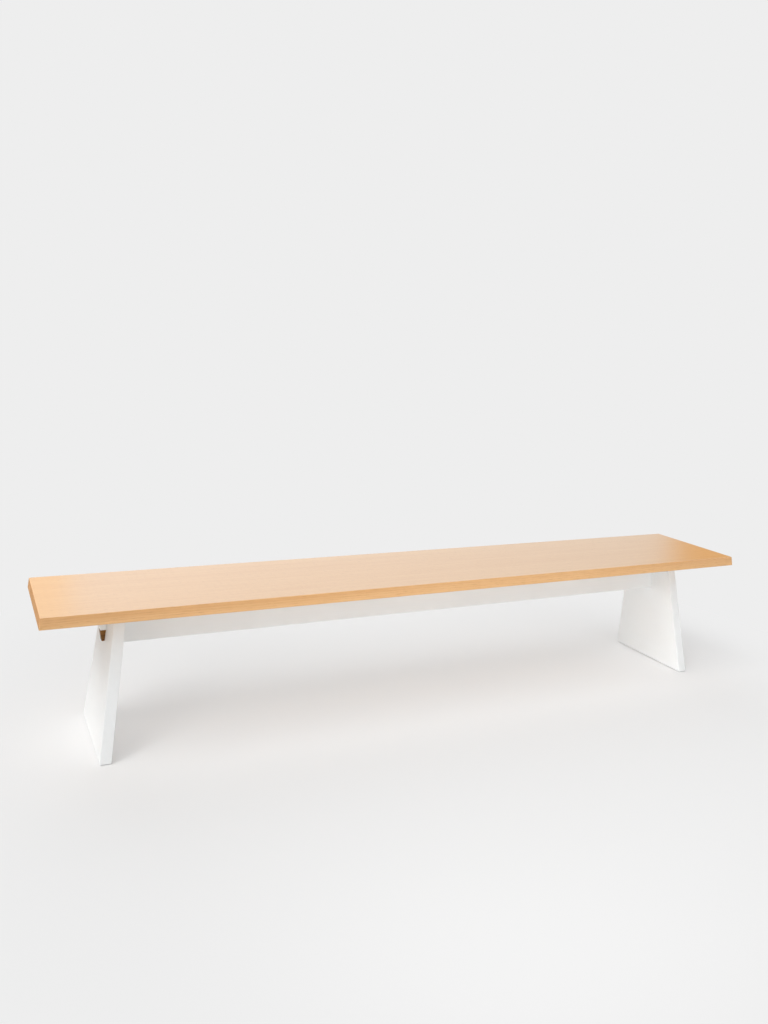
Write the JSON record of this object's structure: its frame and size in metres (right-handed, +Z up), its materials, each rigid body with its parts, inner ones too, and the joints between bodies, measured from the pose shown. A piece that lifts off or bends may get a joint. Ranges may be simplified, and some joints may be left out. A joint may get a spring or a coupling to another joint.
{
  "type": "backless bench",
  "caption": "Long backless bench: wooden seat panel on splayed tapered board legs, joined by a rail whose through tenons are locked by draw keys.",
  "frame": {"origin": "on the floor under the bench's centre, level with the feet of the glides", "axes": "+X along the bench, +Y from the front long edge to the back one, +Z up to the seat"},
  "size_m": [2.4522, 0.3992, 0.45],
  "materials": {
    "seat_wood": "pale straight-grained wood, clear semi-gloss lacquer",
    "white_lacquer": "white satin lacquer on wood",
    "key_wood": "oiled dark hardwood",
    "dowel_wood": "bare beech",
    "zinc_steel": "bright zinc plating",
    "plain_steel": "bright drawn steel",
    "glide_nylon": "pale translucent nylon, matte"
  },
  "bodies": {
    "bench": {"bracket_back_left": "zinc_steel", "bracket_back_middle": "zinc_steel", "bracket_back_right": "zinc_steel", "bracket_front_left": "zinc_steel", "bracket_front_middle": "zinc_steel", "bracket_front_right": "zinc_steel", "bracket_rail_screws": "zinc_steel", "bracket_seat_screws": "zinc_steel", "cleat_left_back": "white_lacquer", "cleat_left_front": "white_lacquer", "cleat_leg_screws": "zinc_steel", "cleat_right_back": "white_lacquer", "cleat_right_front": "white_lacquer", "cleat_seat_screws": "zinc_steel", "glide_left_back": "glide_nylon", "glide_left_front": "glide_nylon", "glide_nails": "plain_steel", "glide_right_back": "glide_nylon", "glide_right_front": "glide_nylon", "leg_left": "white_lacquer", "leg_right": "white_lacquer", "rail": "white_lacquer", "seat_dowels": "dowel_wood", "seat_panel": "seat_wood"},
    "key_left": {"key_left": "key_wood"},
    "key_right": {"key_right": "key_wood"}
  },
  "joints": [
    {"name": "key_left_draw", "type": "slide", "parent": "bench", "child": "key_left", "axis": [-1, 0, 0], "range_m": [0, 0.04]},
    {"name": "key_right_draw", "type": "slide", "parent": "bench", "child": "key_right", "axis": [1, 0, 0], "range_m": [0, 0.04]}
  ]
}
